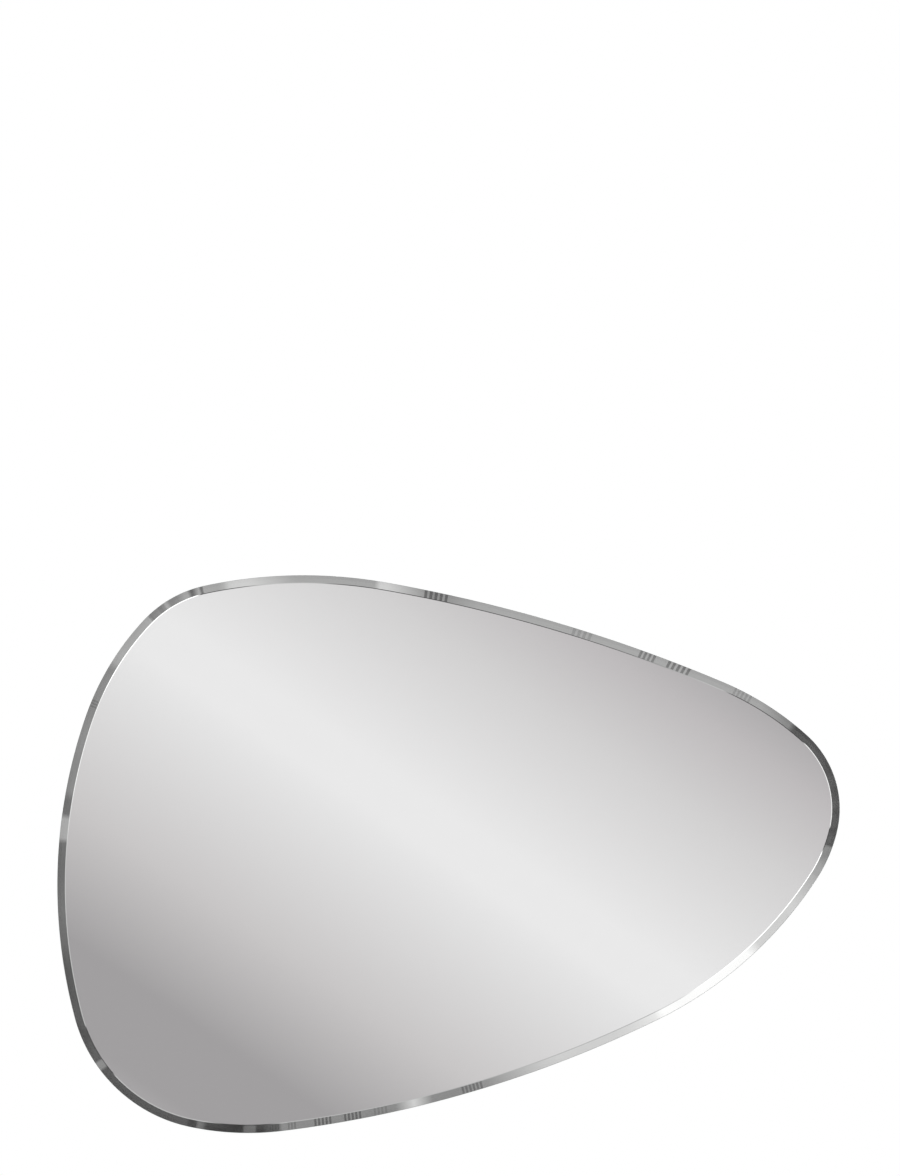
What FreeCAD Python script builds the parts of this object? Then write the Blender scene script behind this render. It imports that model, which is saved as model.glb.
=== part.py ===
import FreeCAD, Part
import math
import os

from FreeCAD import Vector

# An irregular, pebble-shaped wall mirror with no frame: a plate of float glass with a
# polished bevel all round, silvered and painted on the back, bonded to a black board.
# Four D-ring hangers on the board let it hang wide or tall, and rubber bumpers hold it
# parallel to the wall.
#
# Millimetres. +X is right as the viewer sees it, +Z is up, and the glass faces -Y.
# The origin lies on the wall, behind the middle of the pebble's width and height.

# ---- driving dimensions ----

# The pebble's edge, anticlockwise as the viewer sees it, as arcs that meet tangentially.
# Each is (radius, degrees turned). The radii written as None are the two that close the
# outline; they are solved in closing_radii().
OUTLINE = [
    (329.5, 19),  # upper right shoulder
    (1732.0, 13),  # long upper flank
    (528.0, 22),  # upper flank, left end
    (130.0, 35),  # upper left corner
    (302.5, 24),  # its lower half, which is slacker
    (572.0, 34),  # left flank
    (168.0, 63),  # lower left corner
    (314.0, 19),  # underside, left end
    (None, 19),  # long lower flank
    (445.0, 31),  # lower right flank
    (164.5, 20),  # nose, lower part
    (None, 61),  # nose
]
FIRST_NORMAL = 48.0  # degrees from +X to the edge's outward normal where the list starts

GLASS_T = 5.0
BEVEL_W = 9.0  # width of the ground bevel
EDGE_LAND = 3.0  # glass left at the edge, below the bevel
ARRIS = 0.4  # small flat on the glass's back edge
SILVER_T = 0.05  # drawn thicker than the real coat
PAINT_T = 0.1
BOND_T = 1.5  # tape and adhesive between the paint and the board
BOARD_T = 9.0
BOARD_INSET = 25.0  # how far the board stays inside the glass
BOARD_EASE = 1.5  # eased corner round the board's back
BUMPER_H = 6.0
BUMPER_R = 9.0
BUMPER_TIP_R = 8.0
BUMPER_ROUND = 1.2

TAPE_W = 25.0
TAPE_X = (-315.0, -135.0, 45.0, 225.0)
TAPE_EDGE_GAP = 20.0  # from the board's edge to the tape's ends
BEAD_W = 8.0
BEAD_L = 90.0
BEAD_X = (-225.0, -45.0, 135.0)
BEAD_PITCH = 120.0
BEADS_PER_ROW = 3

# D-ring hanger, measured from the board: a folded steel strap round a bent wire ring
WIRE_R = 1.5
PIN_CLEARANCE = 0.08  # between the ring's bar and the strap's eye
SHEET_T = 1.0
LAYER_GAP = 0.1  # between the folded strap's two layers
STRAP_W = 16.0
STRAP_L = 46.0  # from the ring's bar to the strap's rounded end
EYE_LEAN = 55.0  # degrees past the top where the eye turns down to the plate
REVERSE_BEND_R = 1.5
RING_BOW_R = 13.0  # to the wire's centre
RING_CORNER_R = 4.0
RING_LEG = 3.0
RING_BUTT_GAP = 0.6  # where the wire's ends meet, inside the eye
STRAP_HOLE_R = 2.0
STRAP_HOLES = (13.0, 36.0)  # from the ring's bar

# Pan head screw, 3.5 x 9.5
HEAD_R = 3.45
HEAD_H = 2.3
HEAD_RIM_H = 0.9
THREAD_R = 1.75
CORE_R = 1.3
THREAD_PITCH = 1.3
SHANK_L = 9.5
TIP_L = 2.0
RECESS_SPAN = 3.8
RECESS_SLOT = 1.0
RECESS_DEPTH = 1.4

# Where things sit on the board, seen from the front, from the origin
HOOK_SPACING = 400.0  # between the two rings that hold the mirror wide
HOOK_HEIGHT = 150.0  # of those rings' bars
TALL_SPACING = 180.0  # between the two that hold it tall
TALL_X = 205.0  # of those rings' bars
BALANCE_X = -47.0  # the centre of mass
BALANCE_Z = 6.0
BUMPERS = {
    "bumper_upper_left": (-310.0, 204.0),
    "bumper_lower_left": (-304.0, -234.0),
    "bumper_upper_right": (299.0, 127.0),
    "bumper_lower_right": (203.0, -129.0),
}

# ---- planes that follow from them ----

WALL_Y = 0.0
BOARD_BACK_Y = WALL_Y - BUMPER_H
BOARD_FRONT_Y = BOARD_BACK_Y - BOARD_T
PAINT_BACK_Y = BOARD_FRONT_Y - BOND_T
SILVER_BACK_Y = PAINT_BACK_Y - PAINT_T
GLASS_BACK_Y = SILVER_BACK_Y - SILVER_T
GLASS_FRONT_Y = GLASS_BACK_Y - GLASS_T
BEVEL_FOOT_Y = GLASS_BACK_Y - EDGE_LAND
EYE_R = WIRE_R + PIN_CLEARANCE
BAR_H = SHEET_T + EYE_R  # height of the ring's bar above the board

Y_AXIS = Vector(0, 1, 0)
UP = Vector(0, 0, 1)


# ---- the pebble outline ----


def normal(degrees):
    """Unit vector in the XZ plane at this angle from +X."""
    return Vector(math.cos(math.radians(degrees)), 0, math.sin(math.radians(degrees)))


def outline_normals():
    """The edge's outward normal at each joint of the outline, in degrees, with the first again at the end."""
    angles = [FIRST_NORMAL]
    for _, turn in OUTLINE:
        angles.append(angles[-1] + turn)
    return angles


def closing_radii():
    """All radii, with the two unknown ones solved so that the arcs end where they began."""
    angles = outline_normals()
    # An arc of radius r moves the edge by r times the change of the normal, turned a quarter.
    steps = [normal(b + 90) - normal(a + 90) for a, b in zip(angles, angles[1:])]
    steps = [step.cross(Y_AXIS) for step in steps]
    gap = Vector()
    unknown = []
    for (radius, _), step in zip(OUTLINE, steps):
        if radius is None:
            unknown.append(step)
        else:
            gap = gap - step * radius
    (a, b) = unknown
    determinant = a.x * b.z - b.x * a.z
    solved = [
        (gap.x * b.z - b.x * gap.z) / determinant,
        (a.x * gap.z - gap.x * a.z) / determinant,
    ]
    return [solved.pop(0) if radius is None else radius for radius, _ in OUTLINE]


def outline_arcs():
    """Each arc as (centre, radius, first angle, last angle), with the pebble centred on the origin."""
    radii = closing_radii()
    angles = outline_normals()
    centre = Vector()
    arcs = []
    for k, radius in enumerate(radii):
        if k:
            centre = centre + normal(angles[k]) * (radii[k - 1] - radius)
        arcs.append((centre, radius, angles[k], angles[k + 1]))
    box = Part.Wire([arc_edge(arc, 0, 0) for arc in arcs]).BoundBox
    middle = Vector(box.Center.x, 0, box.Center.z)
    return [(c - middle, r, a, b) for c, r, a, b in arcs]


def arc_edge(arc, inset, y):
    """One arc of the outline, moved in by inset, in the plane at y."""
    centre, radius, first, last = arc
    radius -= inset
    points = [
        centre + normal(angle) * radius + Vector(0, y, 0)
        for angle in (first, (first + last) / 2, last)
    ]
    return Part.Arc(*points).toShape()


def outline_wire(inset, y):
    """The pebble's edge, moved in by inset, in the plane at y."""
    return Part.Wire([arc_edge(arc, inset, y) for arc in ARCS])


def stacked_slab(sections):
    """A slab whose edge runs straight from one (inset, y) section to the next."""
    wires = [outline_wire(inset, y) for inset, y in sections]
    return Part.makeLoft(wires, True, True)


def height_span(x, inset):
    """Lowest and highest z of the outline, moved in by inset, on the vertical line at x."""
    heights = []
    for centre, radius, first, last in ARCS:
        radius -= inset
        if abs(x - centre.x) >= radius:
            continue
        for sign in (1, -1):
            z = centre.z + sign * math.sqrt(radius**2 - (x - centre.x) ** 2)
            angle = math.degrees(math.atan2(z - centre.z, x - centre.x))
            if (angle - first) % 360 <= last - first:
                heights.append(z)
    return min(heights), max(heights)


# ---- glass, coats, bond and board ----


def bevelled_glass():
    return stacked_slab(
        [
            (ARRIS, GLASS_BACK_Y),
            (0, GLASS_BACK_Y - ARRIS),
            (0, BEVEL_FOOT_Y),
            (BEVEL_W, GLASS_FRONT_Y),
        ]
    )


def silver_coating():
    return stacked_slab([(ARRIS, SILVER_BACK_Y), (ARRIS, GLASS_BACK_Y)])


def back_paint():
    return stacked_slab([(ARRIS, PAINT_BACK_Y), (ARRIS, SILVER_BACK_Y)])


def mounting_tape():
    """Upright strips of foam tape."""
    strips = []
    for x in TAPE_X:
        spans = [
            height_span(side, BOARD_INSET + TAPE_EDGE_GAP)
            for side in (x - TAPE_W / 2, x + TAPE_W / 2)
        ]
        low = max(span[0] for span in spans)
        high = min(span[1] for span in spans)
        corner = Vector(x - TAPE_W / 2, PAINT_BACK_Y, low)
        strips.append(Part.makeBox(TAPE_W, BOND_T, high - low, corner))
    return strips


def adhesive_beads():
    """Short upright beads of mirror adhesive, pressed flat between the strips of tape."""
    beads = []
    for x in BEAD_X:
        low, high = height_span(x, BOARD_INSET)
        for k in range(BEADS_PER_ROW):
            z = (low + high) / 2 + (k - (BEADS_PER_ROW - 1) / 2) * BEAD_PITCH
            beads.append(stadium(x, z, BEAD_W, BEAD_L, PAINT_BACK_Y, BOND_T))
    return beads


def stadium(x, z, width, length, y, thickness):
    """An upright bar with round ends, centred on x and z, from y towards +Y."""
    r = width / 2
    reach = length / 2 - r
    top = Part.Arc(Vector(x + r, y, z + reach), Vector(x, y, z + reach + r), Vector(x - r, y, z + reach))
    foot = Part.Arc(Vector(x - r, y, z - reach), Vector(x, y, z - reach - r), Vector(x + r, y, z - reach))
    sides = [
        Part.LineSegment(Vector(x - r, y, z + reach), Vector(x - r, y, z - reach)),
        Part.LineSegment(Vector(x + r, y, z - reach), Vector(x + r, y, z + reach)),
    ]
    wire = Part.Wire([e.toShape() for e in (top, sides[0], foot, sides[1])])
    return Part.Face(wire).extrude(Y_AXIS * thickness)


def backing_board(screws):
    """Board with an eased back edge and a hole for each screw."""
    board = stacked_slab(
        [
            (BOARD_INSET, BOARD_FRONT_Y),
            (BOARD_INSET, BOARD_BACK_Y - BOARD_EASE),
            (BOARD_INSET + BOARD_EASE, BOARD_BACK_Y),
        ]
    )
    return board.cut(Part.makeCompound(screws))


def bumper(x, z):
    """Tapered rubber foot with a rounded rim, from the board to the wall."""
    foot = Part.makeCone(BUMPER_R, BUMPER_TIP_R, BUMPER_H, Vector(x, BOARD_BACK_Y, z), Y_AXIS)
    rim = [edge for edge in foot.Edges if edge.Closed and edge.BoundBox.YMin > WALL_Y - 0.1]
    return foot.makeFillet(BUMPER_ROUND, rim)


def spun(edges):
    """The solid made by turning a closed profile in the XY plane about the Y axis."""
    face = Part.Face(Part.Wire([edge.toShape() for edge in edges]))
    solid = face.revolve(Vector(), Y_AXIS, 360)
    return solid


# ---- D-ring hanger ----
# Drawn with the board's back at y = 0, the ring's bar along X above the origin, the ring
# pointing up and the strap down. placed() then moves each piece to where it sits.


def bent_sheet(start, heading, steps, width):
    """A strip of sheet metal bent along a line in the YZ plane.

    Each step is a length, or (radius of the sheet's middle, degrees turned to the left).
    """
    half = SHEET_T / 2
    point = start
    sides = {half: [], -half: []}
    for step in steps:
        left = heading_vector(heading + 90)
        if isinstance(step, tuple):
            radius, turn = step
            centre = point + left * math.copysign(radius, turn)
            stops = [0, turn / 2, turn]
        else:
            stops = [0, 0]
        for offset, edges in sides.items():
            if isinstance(step, tuple):
                arm = left * (offset - math.copysign(radius, turn))
                points = [centre + swung(arm, angle) for angle in stops]
                edges.append(Part.Arc(*points).toShape())
            else:
                a = point + left * offset
                b = a + heading_vector(heading) * step
                edges.append(Part.LineSegment(a, b).toShape())
        if isinstance(step, tuple):
            point = centre + swung(left * -math.copysign(radius, turn), turn)
            heading += turn
        else:
            point = point + heading_vector(heading) * step
    left = sides[half]
    right = sides[-half]
    ends = [
        Part.LineSegment(left[0].Vertexes[0].Point, right[0].Vertexes[0].Point),
        Part.LineSegment(left[-1].Vertexes[-1].Point, right[-1].Vertexes[-1].Point),
    ]
    edges = Part.__sortEdges__(left + right + [end.toShape() for end in ends])
    face = Part.Face(Part.Wire(edges))
    face.translate(Vector(-width / 2, 0, 0))
    return face.extrude(Vector(width, 0, 0))


def heading_vector(degrees):
    """Unit vector in the YZ plane, 0 along +Z and 90 along -Y."""
    return swung(UP, degrees)


def swung(vector, degrees):
    """The vector turned about the X axis."""
    return FreeCAD.Rotation(Vector(1, 0, 0), degrees).multVec(vector)


def strap():
    """One strip folded round the ring's bar, both ends lying on the board, with the screw holes through both."""
    bend_r = EYE_R + SHEET_T / 2
    # The upper layer leaves the eye leaning down and lands flat on the lower one.
    turn = 180 + EYE_LEAN
    lean = math.radians(EYE_LEAN)
    drop = 2 * bend_r - SHEET_T - LAYER_GAP - (bend_r + REVERSE_BEND_R) * (1 - math.cos(lean))
    slant = drop / math.sin(lean)
    back_run = (bend_r + REVERSE_BEND_R) * math.sin(lean) + slant * math.cos(lean)
    steps = [
        STRAP_L,
        (bend_r, -turn),
        slant,
        (REVERSE_BEND_R, EYE_LEAN),
        STRAP_L - back_run,
    ]
    start = Vector(0, SHEET_T / 2, -STRAP_L)
    sheet = bent_sheet(start, 0, steps, STRAP_W)
    plan = Part.makeBox(STRAP_W, BAR_H * 2, STRAP_L, Vector(-STRAP_W / 2, 0, STRAP_W / 2 - STRAP_L))
    end = Part.makeCylinder(STRAP_W / 2, BAR_H * 2, Vector(0, 0, STRAP_W / 2 - STRAP_L), Y_AXIS)
    sheet = sheet.common(plan.fuse(end))
    for distance in STRAP_HOLES:
        hole = Part.makeCylinder(STRAP_HOLE_R, BAR_H * 2, Vector(0, 0, -distance), Y_AXIS)
        sheet = sheet.cut(hole)
    return sheet


def d_ring():
    """Round wire bent into a D, its ends meeting in the strap's eye."""
    bar_end = RING_BOW_R - RING_CORNER_R
    shoulder = RING_CORNER_R
    bow = RING_CORNER_R + RING_LEG
    slope = RING_CORNER_R * math.sqrt(0.5)
    gap = RING_BUTT_GAP / 2

    def at(x, z):
        return Vector(x, BAR_H, z)

    path = [
        Part.LineSegment(at(gap, 0), at(bar_end, 0)),
        Part.Arc(at(bar_end, 0), at(bar_end + slope, shoulder - slope), at(RING_BOW_R, shoulder)),
        Part.LineSegment(at(RING_BOW_R, shoulder), at(RING_BOW_R, bow)),
        Part.Arc(at(RING_BOW_R, bow), at(0, bow + RING_BOW_R), at(-RING_BOW_R, bow)),
        Part.LineSegment(at(-RING_BOW_R, bow), at(-RING_BOW_R, shoulder)),
        Part.Arc(at(-RING_BOW_R, shoulder), at(-bar_end - slope, shoulder - slope), at(-bar_end, 0)),
        Part.LineSegment(at(-bar_end, 0), at(-gap, 0)),
    ]
    section = Part.Face(Part.Wire([Part.makeCircle(WIRE_R, at(gap, 0), Vector(1, 0, 0))]))
    return Part.Wire([edge.toShape() for edge in path]).makePipe(section)


def screw(distance):
    """Pan head screw through the strap, its thread drawn as rings, with a cross recess."""
    seat = 2 * SHEET_T + LAYER_GAP
    tip_start = seat - SHANK_L + TIP_L
    profile = [(0, seat - SHANK_L), (CORE_R, tip_start)]
    turns = int((SHANK_L - TIP_L - seat) / THREAD_PITCH)
    for k in range(turns):
        root = tip_start + k * THREAD_PITCH
        profile += [(THREAD_R, root + THREAD_PITCH / 2), (CORE_R, root + THREAD_PITCH)]
    profile += [(CORE_R, 0), (THREAD_R, 0), (THREAD_R, seat), (HEAD_R, seat), (HEAD_R, seat + HEAD_RIM_H)]
    points = [Vector(r, y, 0) for r, y in profile]
    rise = HEAD_H - HEAD_RIM_H
    dome_r = (HEAD_R**2 + rise**2) / (2 * rise)
    half = math.asin(HEAD_R / dome_r) / 2
    top = Vector(0, seat + HEAD_H, 0)
    shoulder = top + Vector(math.sin(half), math.cos(half) - 1, 0) * dome_r
    edges = [Part.LineSegment(a, b) for a, b in zip(points, points[1:])]
    edges.append(Part.Arc(points[-1], shoulder, top))
    edges.append(Part.LineSegment(top, points[0]))
    floor = seat + HEAD_H - RECESS_DEPTH
    slots = [
        Part.makeBox(span, HEAD_H, slot, Vector(-span / 2, floor, -slot / 2))
        for span, slot in ((RECESS_SPAN, RECESS_SLOT), (RECESS_SLOT, RECESS_SPAN))
    ]
    recess = slots[0].fuse(slots[1]).removeSplitter()
    return spun(edges).cut(recess).translated(Vector(0, 0, -distance))


def placed(shape, x, z, clockwise):
    """The hanger piece with the ring's bar at x and z on the board, turned clockwise as the viewer sees it."""
    moved = shape.copy()
    moved.Placement = FreeCAD.Placement(
        Vector(x, BOARD_BACK_Y, z), FreeCAD.Rotation(Y_AXIS, clockwise)
    ).multiply(moved.Placement)
    return moved


# name of the hanger: x and z of the ring's bar, and its turn from pointing up
HANGERS = {
    "landscape_left": (BALANCE_X - HOOK_SPACING / 2, HOOK_HEIGHT, 0),
    "landscape_right": (BALANCE_X + HOOK_SPACING / 2, HOOK_HEIGHT, 0),
    "portrait_upper": (TALL_X, BALANCE_Z + TALL_SPACING / 2, 90),
    "portrait_lower": (TALL_X, BALANCE_Z - TALL_SPACING / 2, 90),
}


# ---- build ----


def save(node, shape):
    """Checks a sub-part and writes it to parts/node.step."""
    solids = shape if isinstance(shape, list) else shape.Solids
    for solid in solids:
        if not solid.isValid() or solid.Volume <= 0:
            raise ValueError(f"{node} is not a sound solid")
    whole = solids[0] if len(solids) == 1 else Part.makeCompound(solids)
    whole.exportStep(os.path.join("parts", node + ".step"))
    box = whole.BoundBox
    size = f"{box.XLength:.1f} x {box.YLength:.2f} x {box.ZLength:.1f}"
    print(f"{node}: {len(solids)} solid(s), {size} mm, {sum(s.Volume for s in solids) / 1000:.2f} cm3")


os.makedirs("parts", exist_ok=True)
ARCS = outline_arcs()

save("bevelled_glass", bevelled_glass())
save("silver_coating", silver_coating())
save("back_paint", back_paint())
save("mounting_tape", mounting_tape())
save("adhesive_beads", adhesive_beads())

all_screws = []
for hanger, place in HANGERS.items():
    pair = [placed(screw(distance), *place) for distance in STRAP_HOLES]
    all_screws += pair
    save("strap_" + hanger, placed(strap(), *place))
    save("screws_" + hanger, pair)
    save("d_ring_" + hanger, placed(d_ring(), *place))
save("backing_board", backing_board(all_screws))

for name, (x, z) in BUMPERS.items():
    save(name, bumper(x, z))
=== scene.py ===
import math

import bmesh
import bpy
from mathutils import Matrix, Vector


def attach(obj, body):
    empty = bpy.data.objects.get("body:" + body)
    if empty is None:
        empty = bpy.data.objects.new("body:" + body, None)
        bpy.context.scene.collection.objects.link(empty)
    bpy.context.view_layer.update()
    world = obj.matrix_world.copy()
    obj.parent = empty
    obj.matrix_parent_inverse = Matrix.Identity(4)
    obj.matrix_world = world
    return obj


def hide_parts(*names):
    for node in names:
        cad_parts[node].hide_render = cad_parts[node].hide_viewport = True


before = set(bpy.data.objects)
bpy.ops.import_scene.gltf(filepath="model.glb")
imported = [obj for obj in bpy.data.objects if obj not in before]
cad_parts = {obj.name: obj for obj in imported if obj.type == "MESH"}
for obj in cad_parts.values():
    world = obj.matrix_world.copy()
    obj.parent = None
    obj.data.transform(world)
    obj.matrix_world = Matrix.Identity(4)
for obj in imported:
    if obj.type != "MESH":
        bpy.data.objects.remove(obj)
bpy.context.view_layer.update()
scene = bpy.context.scene
mm = 0.001  # sizes below are millimetres, Blender's are metres
weld = 0.002 * mm  # points closer than this are one


def toLinear(hexColour):  # sRGB hex to linear RGBA
    values = [int(hexColour[i:i + 2], 16) / 255 for i in (1, 3, 5)]
    return [v / 12.92 if v <= 0.04045 else ((v + 0.055) / 1.055) ** 2.4 for v in values] + [1.0]


def addNode(tree, kind, links=None, take=0, **settings):  # links holds sockets or plain values
    node = tree.nodes.new(kind)
    for name, value in settings.items():
        setattr(node, name, value)
    for socket, value in (links or {}).items():
        if isinstance(value, bpy.types.NodeSocket):
            tree.links.new(value, node.inputs[socket])
        else:
            node.inputs[socket].default_value = value
    return node.outputs[take] if node.outputs else node


def calc(tree, operation, *values):
    return addNode(tree, "ShaderNodeMath", dict(enumerate(values)), operation=operation)


def remap(tree, value, low, high, first=0.0, last=1.0, **settings):  # low..high becomes first..last
    return addNode(tree, "ShaderNodeMapRange", {0: value, 1: low, 2: high, 3: first, 4: last}, **settings)


def scaled(tree, vector, size):
    return addNode(tree, "ShaderNodeVectorMath", {0: vector, 3: size}, operation="SCALE")


def blend(tree, amount, first, second):  # of two colours
    return addNode(tree, "ShaderNodeMix", {0: amount, 6: first, 7: second}, take=2, data_type="RGBA")


def newObject(name, mesh):
    thing = bpy.data.objects.new(name, mesh)
    scene.collection.objects.link(thing)
    return thing


# The camera stands square on to the glass, high enough to leave the mirror low in the picture.
view = {
    "lens": 300.0,  # long, so the glass is seen straight on all over
    "sensor": 36.0,
    "pictureHeight": 1306.7,  # of the whole picture, at the glass
    "middle": (1.65, 295.8),  # of the picture, from the middle of the mirror
    "glassFront": 21.65,  # in front of the wall
    "seesTo": 60.0,  # metres
}
view["distance"] = view["lens"] / view["sensor"] * view["pictureHeight"]

camera = newObject("camera", bpy.data.cameras.new("camera"))
camera.data.lens = view["lens"]
camera.data.sensor_width = view["sensor"]
camera.data.clip_end = view["seesTo"]
tripod = (view["middle"][0], -view["distance"] - view["glassFront"], view["middle"][1])
camera.location = Vector(tripod) * mm
camera.rotation_euler = (math.radians(90), 0, 0)
scene.camera = camera
scene.view_settings.view_transform = "Standard"
print("camera ready")

# The glass shows the studio behind the camera. Angles run anticlockwise round the camera, from
# the right of someone who faces the mirror. A card is (from, to, shade), with a soft edge across
# any gap to the next one.
studio = {
    "ambient": "#dcdcdc",  # light on painted and rubber surfaces
    "bandTilt": 34.5,  # degrees, how far the soft light bands run down to the right
    "bandSpacing": 766.7,  # from one band to the next, on the glass
    "bandStart": 344.0,
    "bands": [  # across one band, from 0 to 1
        (0.0, 0.0, "#a9a7a8"), (0.08, 0.08, "#bebbbc"), (0.2, 0.2, "#d2d1d1"), (0.4, 0.46, "#e9e9e9"),
        (0.5, 0.5, "#e3e3e3"), (0.7, 0.7, "#c8c6c6"), (0.86, 0.97, "#a19fa0"), (1.0, 1.0, "#a9a7a8"),
    ],
    "room": ("#b4b3b1", "#e6e6e5"),  # low and high, well off to the sides
    "roomHeights": (-0.5, 0.6),
    "roomFrom": -0.95,  # how squarely a ray still has to look at the bands to miss the room
    # the bevel looks nearly 14 degrees off the camera's line, at these
    "rimReach": (0.15, 0.30),  # sideways per metre back
    "shades": {
        "black": "#404040", "dark": "#575757", "dim": "#6e6e6e", "mid": "#8a8a8a",
        "grey": "#a7a7a7", "pale": "#d0d0d0", "white": "#ffffff",
    },
    "rimCards": [  # a dark wall, a window high on the left, greyer things low down
        (0, 5, "dim"), (8, 34, "dark"), (35, 38, "mid"), (39, 82, "dark"), (83, 85, "black"),
        (85.2, 86.2, "dim"), (87, 94.5, "black"), (95, 97, "dim"), (97.5, 99, "black"),
        (99.2, 102, "dark"), (102.2, 105.9, "mid"), (106, 106.4, "pale"), (106.5, 108, "mid"),
        (110, 112, "pale"), (114, 128, "white"), (130, 137, "pale"), (143, 145, "grey"),
        (152, 156, "mid"), (157, 236.5, "dark"), (237, 238, "mid"), (244, 256, "grey"),
        (256.1, 256.6, "mid"), (256.8, 257.7, "pale"), (258, 259, "grey"), (264, 267, "grey"),
        (272, 274, "pale"), (275, 278, "grey"), (278.5, 279.5, "dim"), (280, 281, "grey"),
        (284, 285, "dim"), (287, 289, "grey"), (293, 298, "mid"), (300, 301, "grey"),
        (302, 311, "mid"), (313, 327, "grey"), (329, 349, "mid"), (350, 351.5, "dim"),
        (352, 354, "grey"), (354.5, 360, "dim"),
    ],
    # slatted screens before those cards: (from, to, slats, how much they darken)
    "screens": [
        (99.2, 102, 5, 0.4), (102.7, 102.95, 3, 0.35), (103.4, 103.9, 5, 0.6), (104.2, 104.7, 5, 0.6),
        (105, 105.4, 4, 0.25), (107.4, 108, 6, 0.5), (246, 250, 5, 0.25), (252.7, 253.05, 5, 0.55),
        (253.2, 253.45, 4, 0.5), (254.1, 254.4, 4, 0.25), (256.1, 256.45, 5, 0.6), (303, 305.5, 3, 0.3),
        (310.5, 312.5, 3, 0.35), (336.5, 338.5, 3, 0.3),
    ],
    "slatGap": 0.45,  # share of the pitch that stays open
    # the bevel's inner edge looks half as far off, at cards that show as a thin line
    "innerReach": 0.058,
    "innerGain": 1.6,  # makes up for how thin it is
    "innerCards": [
        (0, 15, "grey"), (17, 45, "black"), (48, 95, "grey"), (98, 107, "black"), (110, 113, "grey"),
        (116, 146, "white"), (148, 159, "black"), (162, 237, "pale"), (240, 257, "black"), (259, 264, "grey"),
        (266, 273, "black"), (276, 330, "white"), (336, 348, "pale"), (354, 360, "grey"),
    ],
    "throughFace": (0.938, 0.956, 0.931),  # share of each colour that comes back out of the flat glass
    "throughBevel": (0.885, 0.895, 0.88),
    "offBevel": 0.036,  # added by the bevel's own faint reflection
}


def cardRamp(tree, place, cards, share, added=0.0):
    most = 15  # a colour ramp holds 32 stops, so longer lists go in groups of this many
    shown = None
    for k in range(0, len(cards), most):
        group = cards[k:k + most]
        low = group[0][0]
        stops = [(at, colour) for start, end, colour in group for at in (start, end)]
        if k + most < len(cards):
            start, _, colour = cards[k + most]
            stops.append((start, colour))
        high = stops[-1][0]
        ramp = addNode(tree, "ShaderNodeValToRGB", {0: remap(tree, place, low, high)})
        elements = ramp.node.color_ramp.elements
        for n, (at, colour) in enumerate(stops):
            at = (at - low) / (high - low)
            stop = elements[n] if n < 2 else elements.new(at)
            stop.position = at
            stop.color = [max(c - added, 0.0) / back for c, back in zip(toLinear(colour), share)] + [1.0]
        if shown:
            ramp = blend(tree, calc(tree, "GREATER_THAN", place, float(low)), shown, ramp)
        shown = ramp
    return shown


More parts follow.
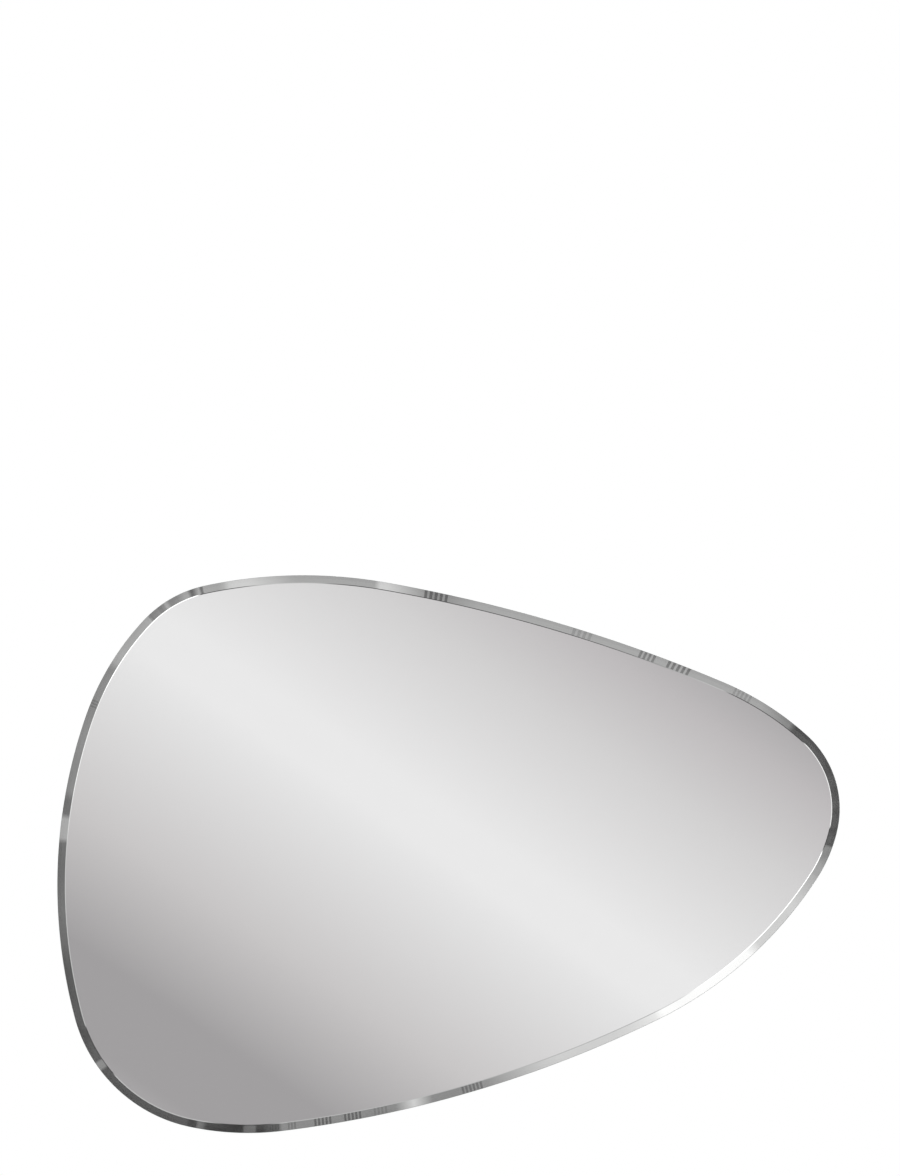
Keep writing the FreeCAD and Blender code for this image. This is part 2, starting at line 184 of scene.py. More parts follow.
def lightStudio():
    world = bpy.data.worlds.new("greyStudio")
    scene.world = world
    world.use_nodes = True
    tree = world.node_tree
    tree.nodes.clear()

    facing = addNode(tree, "ShaderNodeSeparateXYZ", {0: addNode(tree, "ShaderNodeTexCoord")}).node.outputs
    rise = view["middle"][1] / view["distance"]
    back = calc(tree, "MAXIMUM", calc(tree, "MULTIPLY", facing["Y"], -1.0), 0.05)  # never nought
    across = calc(tree, "DIVIDE", facing["X"], back)
    up = calc(tree, "ADD", calc(tree, "DIVIDE", facing["Z"], back), rise)
    sideways = addNode(tree, "ShaderNodeCombineXYZ", {0: across, 1: up})
    reach = addNode(tree, "ShaderNodeVectorMath", {0: sideways}, take="Value", operation="LENGTH")
    angle = calc(tree, "WRAP", calc(tree, "DEGREES", calc(tree, "ARCTAN2", up, across)), 360.0, 0.0)

    # soft bands all over, and the room past them
    tilt = math.radians(studio["bandTilt"])
    turns = view["distance"] / studio["bandSpacing"]
    start = studio["bandStart"] / studio["bandSpacing"]
    along = calc(tree, "MULTIPLY_ADD", facing["X"], -turns * math.sin(tilt), start)
    along = calc(tree, "MULTIPLY_ADD", calc(tree, "ADD", facing["Z"], rise), -turns * math.cos(tilt), along)
    bands = cardRamp(tree, calc(tree, "FRACT", along), studio["bands"], studio["throughFace"])
    height = remap(tree, facing["Z"], *studio["roomHeights"])
    room = blend(tree, height, *[toLinear(colour) for colour in studio["room"]])
    room = blend(tree, remap(tree, facing["Y"], studio["roomFrom"], 0.0), bands, room)

    # cards round the camera, with slatted screens before some
    def standing(cards):
        shaded = [(low, high, studio["shades"][shade]) for low, high, shade in cards]
        return cardRamp(tree, angle, shaded, studio["throughBevel"], studio["offBevel"])

    cards = standing(studio["rimCards"])
    for low, high, slats, dark in studio["screens"]:
        count = remap(tree, angle, low, high, last=float(slats))
        slat = calc(tree, "GREATER_THAN", calc(tree, "FRACT", count), studio["slatGap"])
        cards = scaled(tree, cards, calc(tree, "MULTIPLY_ADD", slat, -dark, 1.0))
    inner = scaled(tree, standing(studio["innerCards"]), studio["innerGain"])

    shown = room
    for limit, look in zip((studio["innerReach"], *studio["rimReach"]), (inner, cards, room)):
        shown = blend(tree, calc(tree, "GREATER_THAN", reach, limit), shown, look)
    shown = blend(tree, calc(tree, "GREATER_THAN", facing["Y"], 0.0), shown, room)

    # the camera itself sees white, and matt surfaces an even light
    ray = addNode(tree, "ShaderNodeLightPath").node.outputs
    plain = addNode(tree, "ShaderNodeBackground", {0: toLinear(studio["ambient"])})
    seen = addNode(tree, "ShaderNodeBackground", {0: shown})
    white = addNode(tree, "ShaderNodeBackground", {0: toLinear("#ffffff")})
    sharp = calc(tree, "MAXIMUM", ray["Is Glossy Ray"], ray["Is Transmission Ray"])
    mixed = addNode(tree, "ShaderNodeMixShader", {0: sharp, 1: plain, 2: seen})
    mixed = addNode(tree, "ShaderNodeMixShader", {0: ray["Is Camera Ray"], 1: mixed, 2: white})
    addNode(tree, "ShaderNodeOutputWorld", {"Surface": mixed})


lightStudio()
lamps = {  # where each lamp stands, and its strength: soft, and kept out of the glass
    "keyFront": ((-3.0, -4.0, 4.5), 0.55),
    "keyBack": ((2.5, 4.0, 4.0), 0.75),
}
lampSoftness = 50  # degrees
for lampName, (stand, strength) in lamps.items():
    lamp = newObject(lampName, bpy.data.lights.new(lampName, "SUN"))
    lamp.data.energy = strength
    lamp.data.angle = math.radians(lampSoftness)
    lamp.rotation_euler = Vector(stand).to_track_quat("Z", "Y").to_euler()
    lamp.visible_glossy = lamp.visible_transmission = False

floor = newObject("floor", bpy.data.meshes.new("floor"))
floorPlan = {"height": -1150.0, "reach": 3200.0, "around": 96, "fade": (1100.0, 3104.0), "colour": "#f4f4f2"}
shape = bmesh.new()
bmesh.ops.create_circle(shape, cap_ends=True, radius=floorPlan["reach"] * mm, segments=floorPlan["around"])
shape.to_mesh(floor.data)
shape.free()
floor.location.z = floorPlan["height"] * mm
floor.visible_glossy = floor.visible_transmission = False  # the glass shows the studio's own ground


def paleFloor():  # a plain pale sweep that fades into the white at its edge, and isn't there from below
    material = bpy.data.materials.new("paleFloor")
    material.use_nodes = True
    tree = material.node_tree
    tree.nodes.clear()
    place = addNode(tree, "ShaderNodeTexCoord", take="Object")
    out = addNode(tree, "ShaderNodeVectorMath", {0: place}, take="Value", operation="LENGTH")
    near, far = floorPlan["fade"]
    fade = remap(tree, out, near * mm, far * mm, interpolation_type="SMOOTHSTEP")
    below = addNode(tree, "ShaderNodeNewGeometry", take="Backfacing")
    hidden = calc(tree, "MAXIMUM", fade, below)
    paint = {"Base Color": toLinear(floorPlan["colour"]), "Roughness": 0.8}
    solid = addNode(tree, "ShaderNodeBsdfPrincipled", paint)
    clear = addNode(tree, "ShaderNodeBsdfTransparent")
    mixed = addNode(tree, "ShaderNodeMixShader", {0: hidden, 1: solid, 2: clear})
    addNode(tree, "ShaderNodeOutputMaterial", {0: mixed})
    return material


floor.data.materials.append(paleFloor())
print("studio ready")


def newFinish(name):  # a material, its tree, its shader and object coordinates in metres
    material = bpy.data.materials.new(name)
    material.use_nodes = True
    tree = material.node_tree
    shader = next(node for node in tree.nodes if node.type == "BSDF_PRINCIPLED")
    place = addNode(tree, "ShaderNodeTexCoord", take="Object")
    return material, tree, shader, place


def setShader(shader, **values):
    for name, value in values.items():
        shader.inputs[name.replace("_", " ")].default_value = value


def grainOf(tree, place, size, detail=2.0, stretch=(1, 1, 1)):  # soft noise, its spots size mm across
    scale = [s / (size * mm) for s in stretch]
    spot = addNode(tree, "ShaderNodeVectorMath", {0: place, 1: scale}, operation="MULTIPLY")
    return addNode(tree, "ShaderNodeTexNoise", {"Vector": spot, "Scale": 1.0, "Detail": detail}, take="Fac")


def spread(tree, value, low, high, first=0.3, last=0.7):  # noise, mostly between first and last, to low..high
    return remap(tree, value, first, last, low, high)


def bumpFrom(tree, shader, height, depth, strength=1.0):  # depth in mm
    bump = addNode(tree, "ShaderNodeBump", {"Height": height, "Distance": depth * mm, "Strength": strength})
    tree.links.new(bump, shader.inputs["Normal"])


def shadeBetween(tree, shader, amount, first, second):
    tree.links.new(blend(tree, amount, toLinear(first), toLinear(second)), shader.inputs["Base Color"])


def slopeOf(tree):  # 0 on a plate's flat faces, 1 on its upright edge
    return addNode(tree, "ShaderNodeAttribute", take="Fac", attribute_name="slope")


# Clear float glass, cast on molten tin: flat and bright on both faces. The bevel is ground
# and polished back to the same brightness. The edge below it is only fine ground, so it
# scatters light and looks frosted, and greener for the long way light goes through the plate.
glassFinish = {
    "green": "#e6f8f1", "density": 12.0, "edgeRoughness": 0.32, "edgeGrit": 0.9,
    "frosted": 0.6, "frost": "#bccdc6",  # share of the edge that scatters, and its colour
    "edgeFrom": 0.1,  # the bevel's slope is 0.02, the arris's 0.3
}


def makeGlass():
    material, tree, shader, place = newFinish("clearFloatGlass")
    setShader(shader, Base_Color=toLinear("#ffffff"), IOR=1.52, Transmission_Weight=1.0)
    onEdge = calc(tree, "GREATER_THAN", slopeOf(tree), glassFinish["edgeFrom"])
    silky = calc(tree, "MULTIPLY", onEdge, glassFinish["edgeRoughness"])
    tree.links.new(silky, shader.inputs["Roughness"])
    clear = calc(tree, "MULTIPLY_ADD", onEdge, -glassFinish["frosted"], 1.0)
    tree.links.new(clear, shader.inputs["Transmission Weight"])
    shadeBetween(tree, shader, onEdge, "#ffffff", glassFinish["frost"])
    grit = grainOf(tree, place, glassFinish["edgeGrit"], detail=3.0)  # real grit is 0.1 mm, too fine to show
    bumpFrom(tree, shader, grit, depth=0.02, strength=onEdge)
    output = next(node for node in tree.nodes if node.type == "OUTPUT_MATERIAL")
    body = {"Color": toLinear(glassFinish["green"]), "Density": glassFinish["density"]}
    tint = addNode(tree, "ShaderNodeVolumeAbsorption", body)
    tree.links.new(tint, output.inputs["Volume"])
    return material


# Silver, poured on the glass's back as a wet coat: a perfect mirror, a touch warm.
def makeSilver():
    material, _, shader, _ = newFinish("silverCoat")
    setShader(shader, Base_Color=toLinear("#fbfbf9"), Metallic=1.0, Roughness=0.0)
    return material


# Mirror backing paint, curtain coated and baked: an even blue-grey, low sheen, with faint
# long ripples from the curtain and a little dust caught in it.
def makeBackPaint():
    material, tree, shader, place = newFinish("curtainCoatedBackPaint")
    setShader(shader, Roughness=0.42, Specular_IOR_Level=0.5)
    ripple = grainOf(tree, place, size=9.0, detail=1.0, stretch=(1, 1, 0.12))
    shadeBetween(tree, shader, spread(tree, ripple, 0.0, 1.0), "#767d83", "#6c7379")
    dust = spread(tree, grainOf(tree, place, size=2.2, detail=1.0), 0.0, 1.0, first=0.70, last=0.74)
    dustHeight = 0.8  # beside the ripples'
    bumpFrom(tree, shader, calc(tree, "MULTIPLY_ADD", dust, dustHeight, ripple), depth=0.03)
    return material


# MDF board, routed and sprayed black: a dull film with orange peel, and fibres that lift the
# paint where the router rounded the edge.
def makeBoardPaint():
    material, tree, shader, place = newFinish("sprayedBlackMdf")
    cloud = grainOf(tree, place, size=70.0, detail=3.0)
    shadeBetween(tree, shader, spread(tree, cloud, 0.0, 1.0), "#1d1d1e", "#27272a")
    peel = grainOf(tree, place, size=2.4, detail=1.5)  # real peel is 1 mm across, drawn coarser to show
    fibre = grainOf(tree, place, size=0.9, detail=3.0)
    fibreHeight = 1.4  # on the upright edge, beside the peel's
    lifted = calc(tree, "MULTIPLY", slopeOf(tree), fibreHeight)
    bumpFrom(tree, shader, calc(tree, "MULTIPLY_ADD", fibre, lifted, peel), depth=0.06)
    tree.links.new(spread(tree, cloud, 0.46, 0.6), shader.inputs["Roughness"])
    return material


# Zinc plate over steel, passivated: pale, slightly blue, with soft clouds where the dip dried.
# Sheet shows the rolling direction, and drawn wire fine lines along it; turned heads get an even fine grain.
def makeZinc(name, stretch, roughness, pale, dark):
    material, tree, shader, place = newFinish(name)
    setShader(shader, Metallic=1.0)
    cloud = grainOf(tree, place, size=6.0, detail=3.0)
    lines = grainOf(tree, place, size=1.2, stretch=stretch)  # lines are 0.2 mm apart on the real metal
    lineShare, duller = 0.35, 0.14
    both = calc(tree, "MULTIPLY", lines, lineShare)
    both = calc(tree, "MULTIPLY_ADD", cloud, 1 - lineShare, both)
    shadeBetween(tree, shader, spread(tree, both, 0.0, 1.0), pale, dark)
    tree.links.new(spread(tree, both, roughness, roughness + duller), shader.inputs["Roughness"])
    bumpFrom(tree, shader, lines, depth=0.008)
    return material


# Natural rubber, compression moulded: dull near-black with a fine spark-eroded texture and a
# faint grey bloom.
def makeRubber():
    material, tree, shader, place = newFinish("mouldedBlackRubber")
    bloom = grainOf(tree, place, size=5.0, detail=3.0)
    shadeBetween(tree, shader, spread(tree, bloom, 0.0, 1.0), "#191919", "#2a2a2b")
    tree.links.new(spread(tree, bloom, 0.62, 0.8), shader.inputs["Roughness"])
    texture = grainOf(tree, place, size=0.7)  # really 0.1 mm across, drawn coarser to show
    bumpFrom(tree, shader, texture, depth=0.04)
    return material


# Polyethylene foam tape, cut from a roll: white, closed cells about half a millimetre across
# open on its cut sides.
def makeFoam():
    material, tree, shader, place = newFinish("whiteFoamTape")
    cellSize = 0.6
    spot = scaled(tree, place, 1 / (cellSize * mm))
    cells = addNode(tree, "ShaderNodeTexVoronoi", {"Vector": spot, "Scale": 1.0}, take="Distance")
    # painted shade: each open cell is drawn darker towards its middle, where its pit is deepest, and lighter
    # on its walls
    cellPitShade = spread(tree, cells, 0.0, 1.0, first=0.1, last=0.8)
    shadeBetween(tree, shader, cellPitShade, "#d9d8d4", "#f1f0ec")
    setShader(shader, Roughness=0.85)
    bumpFrom(tree, shader, cells, depth=0.12)
    return material


# Neutral-cure mirror adhesive, squeezed flat: off-white, rubbery, slightly wet-looking.
def makeAdhesive():
    material, tree, shader, place = newFinish("mirrorAdhesive")
    lumps = grainOf(tree, place, size=4.0)
    shadeBetween(tree, shader, spread(tree, lumps, 0.0, 1.0), "#d6d2c6", "#e3e0d6")
    setShader(shader, Roughness=0.38)
    bumpFrom(tree, shader, lumps, depth=0.25)
    return material


finishes = {
    "glass": makeGlass(), "silver": makeSilver(),
    "backPaint": makeBackPaint(), "boardPaint": makeBoardPaint(),
    "sheet": makeZinc("zincPlatedSheet", (1, 1, 0.1), 0.26, "#c9ccd0", "#aeb1b6"),
    "wire": makeZinc("zincPlatedWire", (0.35, 1, 0.35), 0.2, "#d0d2d5", "#b4b7bb"),
    "turned": makeZinc("zincPlatedScrew", (0.6, 0.6, 0.6), 0.22, "#d4d5d6", "#b9bbbd"),
    "rubber": makeRubber(), "foam": makeFoam(), "adhesive": makeAdhesive(),
}
print("finishes ready")


def startTree(name, sizes):  # sizes is {input name: kind of socket}
    tree = bpy.data.node_groups.new(name, "GeometryNodeTree")
    for size, kind in [("Geometry", "Geometry"), *sizes.items(), ("Finish", "Material")]:
        tree.interface.new_socket(size, in_out="INPUT", socket_type="NodeSocket" + kind)
    tree.interface.new_socket("Geometry", in_out="OUTPUT", socket_type="NodeSocketGeometry")
    return tree, tree.nodes.new("NodeGroupInput").outputs


def above(tree, value, limit):  # true or false
    return addNode(tree, "FunctionNodeCompare", {0: value, 1: limit}, operation="GREATER_THAN")


def endTree(tree, given, shape, sharpFrom=30.0):
    crease = above(tree, addNode(tree, "GeometryNodeInputMeshEdgeAngle"), math.radians(sharpFrom))
    sharp = {"Geometry": shape, "Selection": crease, "Shade Smooth": False}
    shape = addNode(tree, "GeometryNodeSetShadeSmooth", sharp, domain="EDGE")
    shape = addNode(tree, "GeometryNodeRealizeInstances", {0: shape})
    shape = addNode(tree, "GeometryNodeSetMaterial", {"Geometry": shape, "Material": given["Finish"]})
    addNode(tree, "NodeGroupOutput", {0: shape})


def growPiece(name, base, tree, values):  # runs the tree on a base mesh and keeps a plain mesh
    seed = newObject(name + "Seed", base)
    modifier = seed.modifiers.new("grow", "NODES")
    modifier.node_group = tree
    for socket in tree.interface.items_tree:
        if socket.in_out == "INPUT" and socket.name in values:
            modifier[socket.identifier] = values[socket.name]
    bpy.context.view_layer.update()
    ready = seed.evaluated_get(bpy.context.evaluated_depsgraph_get())
    piece = newObject(name, bpy.data.meshes.new_from_object(ready))
    seed.modifiers.clear()
    bpy.data.objects.remove(seed)
    return piece


def addAttribute(mesh, name, kind, values):
    field = "vector" if kind == "FLOAT_VECTOR" else "value"
    for slot, value in zip(mesh.attributes.new(name, kind, "POINT").data, values):
        setattr(slot, field, value)


pebble = {
    # (radius, degrees turned), anticlockwise from the upper right shoulder; the long lower
    # flank and the nose get the radii that close the outline
    "arcs": [
        (329.5, 19), (1732.0, 13), (528.0, 22), (130.0, 35), (302.5, 24), (572.0, 34),
        (168.0, 63), (314.0, 19), (None, 19), (445.0, 31), (164.5, 20), (None, 61),
    ],
    "firstNormal": 48,  # degrees from the right
    "pointsPerDegree": 4,
}
# Each plate is cut to the pebble in steps of (inset, height before the wall).
plates = {
    "glassPlate": {
        "steps": [(0.4, 16.65), (0.0, 17.05), (0.0, 19.65), (9.0, 21.65)],  # arris, ground edge, bevel
        "finish": "glass", "slot": "float_glass", "node": "bevelled_glass",
    },
    "silverFilm": {
        "steps": [(0.45, 16.6), (0.45, 16.7)],  # a hair inside the glass, so the two never share a plane
        "finish": "silver", "slot": "silver", "node": "silver_coating",
    },
    "backPaintFilm": {
        "steps": [(0.4, 16.5), (0.4, 16.62)],
        "finish": "backPaint", "slot": "back_paint", "node": "back_paint",
    },
    "backBoard": {
        # rounded by a router
        "steps": [(26.5, 6.0), (26.0, 6.1), (25.5, 6.4), (25.1, 6.9), (25.0, 7.5), (25.0, 15.0)],
        "finish": "boardPaint", "slot": "painted_board", "node": "backing_board",
    },
}


def heading(degrees):
    return Vector((math.cos(math.radians(degrees)), math.sin(math.radians(degrees))))


def closedArcs():
    steps = []
    first = pebble["firstNormal"]
    for radius, turn in pebble["arcs"]:  # an arc moves the edge by its radius times this
        steps.append((radius, heading(first + turn) - heading(first)))
        first += turn
    gap = Vector((0, 0))
    for radius, step in steps:
        gap -= step * (radius or 0)
    a, b = [step for radius, step in steps if radius is None]
    solved = [gap.cross(b) / a.cross(b), a.cross(gap) / a.cross(b)]
    return [(radius or solved.pop(0), turn) for radius, turn in pebble["arcs"]]


def pebbleEdge():  # (point, outward) round the edge, in mm, centred on its width and height
    edge = []
    first = pebble["firstNormal"]
    centre = Vector((0, 0))
    last = None
    for radius, turn in closedArcs():
        if last:
            centre = centre + heading(first) * (last - radius)
        for k in range(turn * pebble["pointsPerDegree"]):
            outward = heading(first + k / pebble["pointsPerDegree"])
            edge.append((centre + outward * radius, outward))
        last = radius
        first += turn
    xs, zs = zip(*[point for point, _ in edge])
    middle = Vector((min(xs) + max(xs), min(zs) + max(zs))) / 2
    return [(point - middle, outward) for point, outward in edge]


def pebbleMesh(edge):  # one face, lying down: its Y is height and its Z is distance before the wall
    mesh = bpy.data.meshes.new("pebble")
    mesh.from_pydata([(point.x * mm, point.y * mm, 0) for point, _ in edge], [], [range(len(edge))])
    addAttribute(mesh, "outward", "FLOAT_VECTOR", [(outward.x, outward.y, 0) for _, outward in edge])
    return mesh


def plateTree(steps):
    sizes = {f"{what} {k}": "Float" for k in range(1, steps + 1) for what in ("Inset", "Height")}
    tree, given = startTree(f"steppedPlate{steps}", sizes)
    outward = addNode(tree, "GeometryNodeInputNamedAttribute", {"Name": "outward"}, data_type="FLOAT_VECTOR")

    def moved(shape, inward, height, part=True):
        rise = addNode(tree, "ShaderNodeCombineXYZ", {2: height})
        shift = scaled(tree, outward, inward)
        shift = addNode(tree, "ShaderNodeVectorMath", {0: shift, 1: rise}, operation="ADD")
        links = {"Geometry": shape, "Selection": part, "Offset": shift}
        return addNode(tree, "GeometryNodeSetPosition", links)

    back = moved(given["Geometry"], calc(tree, "SUBTRACT", 0.0, given["Inset 1"]), given["Height 1"])
    shape = back
    for k in range(2, steps + 1):
        links = {"Mesh": shape, "Offset Scale": 0.0, "Individual": False}
        if k > 2:
            links["Selection"] = top
        raised = addNode(tree, "GeometryNodeExtrudeMesh", links).node.outputs
        top = raised["Top"]
        inward = calc(tree, "SUBTRACT", given[f"Inset {k - 1}"], given[f"Inset {k}"])
        rise = calc(tree, "SUBTRACT", given[f"Height {k}"], given[f"Height {k - 1}"])
        shape = moved(raised["Mesh"], inward, rise, top)
    shape = addNode(tree, "GeometryNodeJoinGeometry", {0: shape})
    tree.links.new(addNode(tree, "GeometryNodeFlipFaces", {0: back}), shape.node.inputs[0])
    shape = addNode(tree, "GeometryNodeMergeByDistance", {"Geometry": shape, "Distance": weld})

    # keep the slope for the finishes, and shade all but the flat faces smooth
    normal = addNode(tree, "GeometryNodeInputNormal")
    facing = addNode(tree, "ShaderNodeSeparateXYZ", {0: normal}).node.outputs
    slope = calc(tree, "SUBTRACT", 1.0, calc(tree, "ABSOLUTE", facing["Z"]))
    stored = {"Geometry": shape, "Name": "slope", "Value": slope}
    shape = addNode(tree, "GeometryNodeStoreNamedAttribute", stored, data_type="FLOAT", domain="FACE")
    flat = 0.001
    slanted = {"Geometry": shape, "Shade Smooth": above(tree, slope, flat)}
    shape = addNode(tree, "GeometryNodeSetShadeSmooth", slanted, domain="FACE")
    shape = addNode(tree, "GeometryNodeTransform", {"Geometry": shape, "Rotation": (math.radians(90), 0, 0)})
    endTree(tree, given, shape)
    return tree


edge = pebbleEdge()
for plateName, plate in plates.items():
    values = {"Finish": finishes[plate["finish"]]}
    for k, (inset, height) in enumerate(plate["steps"], 1):
        values[f"Inset {k}"] = inset * mm
        values[f"Height {k}"] = height * mm
    piece = growPiece(plateName, pebbleMesh(edge), plateTree(len(plate["steps"])), values)
    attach(piece, "mirror")
    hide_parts(plate["node"])
print("glass, coats and board ready")


hangers = {  # x and height of the ring's bar, and its turn clockwise from pointing up
    "landscape_left": (-247.0, 150.0, 0),
    "landscape_right": (153.0, 150.0, 0),
    "portrait_upper": (205.0, 96.0, 90),
    "portrait_lower": (205.0, -84.0, 90),
}
boardBack = 6.0  # before the wall


def onHanger(hanger, across, along, height):  # a place on the board by the hanger, in metres
    x, z, turn = hangers[hanger]
    spin = math.radians(-turn)
    return Vector((
        x + across * math.cos(spin) - along * math.sin(spin), height - boardBack,
        z + across * math.sin(spin) + along * math.cos(spin),
    )) * mm


ring = {
    "wire": 1.5,  # radius
    "bowRadius": 13.0, "cornerRadius": 4.0, "depth": 20.0,  # bar to the far side of the bow
    "buttGap": 0.6,  # between the wire's ends, inside the eye
    "bowSlack": 0.02,  # leaves the two halves of the bow a hair apart
    "barHeight": 2.58,  # over the board
    "bendSteps": 16, "sides": 24,
}


def ringMesh(hanger):  # the D's corners, with how far each is rounded
    half = ring["bowRadius"]
    bow = half - ring["bowSlack"]
    corners = [
        (ring["buttGap"] / 2, 0, 0), (half, 0, ring["cornerRadius"]), (half, ring["depth"], bow),
        (-half, ring["depth"], bow), (-half, 0, ring["cornerRadius"]), (-ring["buttGap"] / 2, 0, 0),
    ]
    mesh = bpy.data.meshes.new("ringPath")
    points = [onHanger(hanger, x, z, ring["barHeight"]) for x, z, _ in corners]
    mesh.from_pydata(points, [(k, k + 1) for k in range(len(points) - 1)], [])
    addAttribute(mesh, "bend", "FLOAT", [radius * mm for _, _, radius in corners])
    return mesh


def wireTree():
    tree, given = startTree("bentWire", {"Wire Radius": "Float", "Bend Steps": "Int", "Sides": "Int"})
    bend = addNode(tree, "GeometryNodeInputNamedAttribute", {"Name": "bend"}, data_type="FLOAT")
    path = addNode(tree, "GeometryNodeMeshToCurve", {0: given["Geometry"]})
    corners = {0: path, 1: given["Bend Steps"], 2: bend, 3: True}
    path = addNode(tree, "GeometryNodeFilletCurve", corners, mode="POLY")
    section = {"Resolution": given["Sides"], "Radius": given["Wire Radius"]}
    section = addNode(tree, "GeometryNodeCurvePrimitiveCircle", section, mode="RADIUS")
    wire = {"Curve": path, "Profile Curve": section, "Fill Caps": True}
    shape = addNode(tree, "GeometryNodeCurveToMesh", wire)
    shape = addNode(tree, "GeometryNodeSetShadeSmooth", {"Geometry": shape}, domain="FACE")
    endTree(tree, given, shape, sharpFrom=60.0)
    return tree


bentWire = wireTree()
for hanger in hangers:
    name = "".join(word.capitalize() for word in hanger.split("_"))
    values = {
        "Wire Radius": ring["wire"] * mm, "Bend Steps": ring["bendSteps"],
        "Sides": ring["sides"], "Finish": finishes["wire"],
    }
    piece = growPiece("dRing" + name, ringMesh(hanger), bentWire, values)
    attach(piece, "ring_" + hanger)
    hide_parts("d_ring_" + hanger)
print("rings ready")


def latheMesh(name, profile, around):  # turns (radius, height) points about Y, closed where the radius is 0
    shape = bmesh.new()
    points = [shape.verts.new((radius * mm, height * mm, 0)) for radius, height in profile]
    edges = [shape.edges.new(pair) for pair in zip(points, points[1:])]
    bmesh.ops.spin(
        shape, geom=points + edges, axis=(0, 1, 0), cent=(0, 0, 0), angle=math.tau, steps=around,
        use_merge=True,
    )
    bmesh.ops.remove_doubles(shape, verts=shape.verts, dist=weld)
    bmesh.ops.recalc_face_normals(shape, faces=shape.faces)
    for face in shape.faces:
        face.smooth = True
    mesh = bpy.data.meshes.new(name)
    shape.to_mesh(mesh)
    shape.free()
    return mesh


def arcPoints(centreR, centreH, radius, first, last, steps):  # points of a profile's rounded corner
    return [
        (centreR + radius * math.cos(math.radians(a)), centreH + radius * math.sin(math.radians(a)))
        for a in [first + (last - first) * k / steps for k in range(steps + 1)]
    ]


def spotMesh(places):
    mesh = bpy.data.meshes.new("spots")
    mesh.from_pydata(places, [], [])
    return mesh


def fastenerTree():
    tree, given = startTree("setOut", {"Pattern": "Object", "Most Turn": "Float", "Seed": "Int"})
    pattern = addNode(tree, "GeometryNodeObjectInfo", {"Object": given["Pattern"]}, take="Geometry")
    turns = {3: given["Most Turn"], "Seed": given["Seed"]}
    turn = addNode(tree, "FunctionNodeRandomValue", turns, take=1, data_type="FLOAT")
    turn = addNode(tree, "ShaderNodeCombineXYZ", {1: turn})
    spots = {"Points": given["Geometry"], "Instance": pattern, "Rotation": turn}
    shape = addNode(tree, "GeometryNodeInstanceOnPoints", spots)
    shape = addNode(tree, "GeometryNodeRealizeInstances", {0: shape})
    endTree(tree, given, shape)
    return tree


setOut = fastenerTree()


def setOutPiece(name, pattern, places, mostTurn, finish):
    values = {"Pattern": pattern, "Most Turn": mostTurn, "Seed": 7, "Finish": finishes[finish]}
    piece = growPiece(name, spotMesh(places), setOut, values)
    bpy.data.objects.remove(pattern)
    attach(piece, "mirror")
    return piece


screw = {  # pan head, 3.5 x 9.5 mm, measured from the board's back
    "headRadius": 3.45, "headHeight": 2.3, "rim": 0.9, "edge": 0.25,
    "seat": 2.1,  # on the strap's two layers
    "threadRadius": 1.75, "coreRadius": 1.3, "pitch": 1.3, "reach": 7.4, "taper": 2.0,
    "recess": {"span": 3.6, "spanBelow": 1.7, "slot": 1.0, "slotBelow": 0.7, "depth": 1.4, "proud": 0.2},
    "fromBar": (13.0, 36.0),
    "around": 40,
}


def crossCutter():  # the driver's tapered cross, a little proud of the head
    r = screw["recess"]
    top = screw["seat"] + screw["headHeight"] + r["proud"]
    low = top - r["proud"] - r["depth"]
    shape = bmesh.new()
    rings = []
    for height, span, slot in ((low, r["spanBelow"], r["slotBelow"]), (top, r["span"], r["slot"])):
        span /= 2
        slot /= 2
        plan = [(span, slot), (slot, slot), (slot, span), (-slot, span), (-slot, slot), (-span, slot)]
        plan += [(-x, -z) for x, z in plan]
        rings.append([shape.verts.new((x * mm, height * mm, z * mm)) for x, z in plan])
    shape.faces.new(rings[0])
    shape.faces.new(rings[1])
    for k in range(len(rings[0])):
        shape.faces.new((rings[0][k - 1], rings[0][k], rings[1][k], rings[1][k - 1]))
    bmesh.ops.recalc_face_normals(shape, faces=shape.faces)
    mesh = bpy.data.meshes.new("driverCross")
    shape.to_mesh(mesh)
    shape.free()
    return newObject("driverCross", mesh)


def makeScrew():
    s = screw
    seat, rim, top = s["seat"], s["seat"] + s["rim"], s["seat"] + s["headHeight"]
    rise = top - rim
    dome = (s["headRadius"] ** 2 + rise ** 2) / (2 * rise)
    half = math.degrees(math.asin(s["headRadius"] / dome))
    tip = -s["reach"] + s["taper"]
    profile = [(0, -s["reach"]), (s["coreRadius"], tip)]
    for k in range(int(-tip / s["pitch"])):
        root = tip + k * s["pitch"]
        profile += [(s["threadRadius"], root + s["pitch"] / 2), (s["coreRadius"], root + s["pitch"])]
    profile += [(s["coreRadius"], 0), (s["threadRadius"], 0), (s["threadRadius"], seat)]
    profile += [(s["headRadius"] - s["edge"], seat)]
    profile += arcPoints(s["headRadius"] - s["edge"], seat + s["edge"], s["edge"], -90, 0, steps=4)
    profile += arcPoints(0, top - dome, dome, 90 - half, 90, steps=10)[:-1] + [(0, top)]
    blank = newObject("screwBlank", latheMesh("screwBlank", profile, s["around"]))
    cutter = crossCutter()
    cut = blank.modifiers.new("drive", "BOOLEAN")
    cut.object = cutter
    cut.solver = "EXACT"
    bpy.context.view_layer.update()
    ready = blank.evaluated_get(bpy.context.evaluated_depsgraph_get())
    pattern = newObject("screwPattern", bpy.data.meshes.new_from_object(ready))
    bpy.data.objects.remove(blank)
    bpy.data.objects.remove(cutter)
    return pattern


screwPlaces = [onHanger(hanger, 0, -distance, 0) for hanger in hangers for distance in screw["fromBar"]]
screws = setOutPiece("strapScrews", makeScrew(), screwPlaces, math.radians(90), "turned")
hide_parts(*["screws_" + hanger for hanger in hangers])

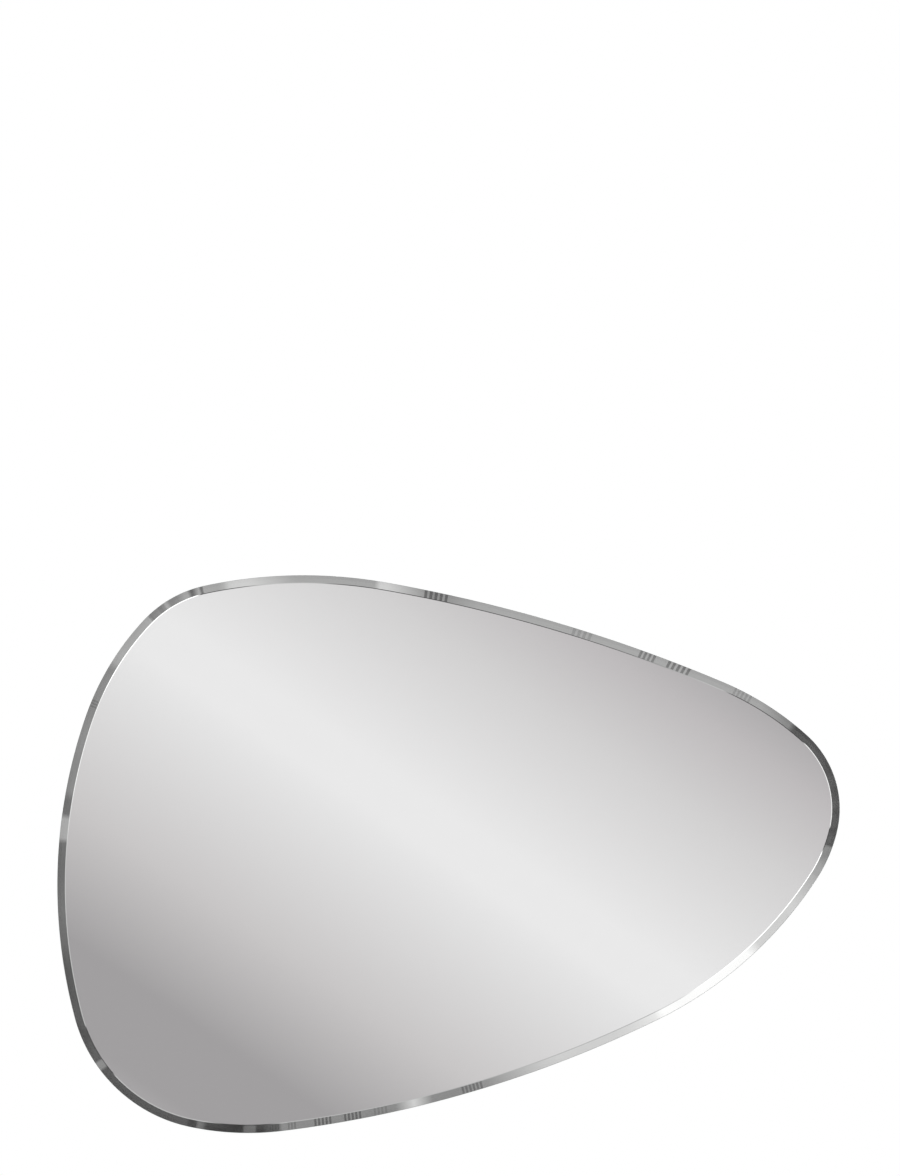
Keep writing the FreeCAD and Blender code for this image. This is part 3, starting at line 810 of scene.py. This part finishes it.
bumper = {  # moulded foot, from the board to the wall
    "foot": 9.0, "tip": 8.0, "height": 6.0, "edge": 1.2, "footEdge": 0.3, "around": 48,
    "swell": 0.02,  # of the side, past a straight cone
    "dimple": 2.6, "dimpleDepth": 0.5, "lip": 0.4, "lipDepth": 0.1,
    "places": [(-310.0, 204.0), (-304.0, -234.0), (299.0, 127.0), (203.0, -129.0)],
}


def makeBumper():
    b = bumper
    lean = math.degrees(math.atan((b["foot"] - b["tip"]) / b["height"]))
    reach = b["tip"] - b["edge"] * math.tan(math.radians(45 - lean / 2)) + b["swell"]
    profile = [(0, 0), (b["foot"] - b["footEdge"], 0), (b["foot"] - b["swell"], b["footEdge"])]
    profile += arcPoints(reach, b["height"] - b["edge"], b["edge"], lean, 90, steps=8)
    hollow = b["height"] - b["dimpleDepth"]
    profile += [(b["dimple"] + b["lip"], b["height"]), (b["dimple"], b["height"] - b["lipDepth"])]
    profile += [(b["dimple"] - b["dimpleDepth"], hollow), (0, hollow)]
    return newObject("bumperPattern", latheMesh("bumperPattern", profile, b["around"]))


bumperPlaces = [Vector((x, -boardBack, z)) * mm for x, z in bumper["places"]]
bumpers = setOutPiece("wallBumpers", makeBumper(), bumperPlaces, 0.0, "rubber")
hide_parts("bumper_upper_left", "bumper_lower_left", "bumper_upper_right", "bumper_lower_right")
print("screws and bumpers ready")

strapEdge = {  # tumbled after stamping
    "round": 0.15, "segments": 2, "sharpFrom": 35.0,
    "weld": 0.005, "flatWithin": 1.0,  # mm and degrees, to take the mesh's spare points and edges out
}


def makeStrap(hanger):  # the stamped and folded strap, with its edges taken off
    shape = bmesh.new()
    shape.from_mesh(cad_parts["strap_" + hanger].data)
    bmesh.ops.remove_doubles(shape, verts=shape.verts, dist=strapEdge["weld"] * mm)
    flat = math.radians(strapEdge["flatWithin"])
    bmesh.ops.dissolve_limit(shape, angle_limit=flat, verts=shape.verts, edges=shape.edges)
    for face in shape.faces:
        face.smooth = True
    mesh = bpy.data.meshes.new("strap")
    shape.to_mesh(mesh)
    shape.free()
    mesh.materials.append(finishes["sheet"])
    name = "".join(word.capitalize() for word in hanger.split("_"))
    piece = newObject("strap" + name, mesh)
    rounding = piece.modifiers.new("edges", "BEVEL")
    rounding.width = strapEdge["round"] * mm
    rounding.segments = strapEdge["segments"]
    rounding.limit_method = "ANGLE"
    rounding.angle_limit = math.radians(strapEdge["sharpFrom"])
    rounding.harden_normals = True
    return piece


for hanger in hangers:
    piece = makeStrap(hanger)
    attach(piece, "mirror")
    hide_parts("strap_" + hanger)

# the bond keeps its own shape from the frame
for node, finish in {"mounting_tape": "foam", "adhesive_beads": "adhesive"}.items():
    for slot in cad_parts[node].material_slots:
        slot.material = finishes[finish]
print("straps and bond ready")
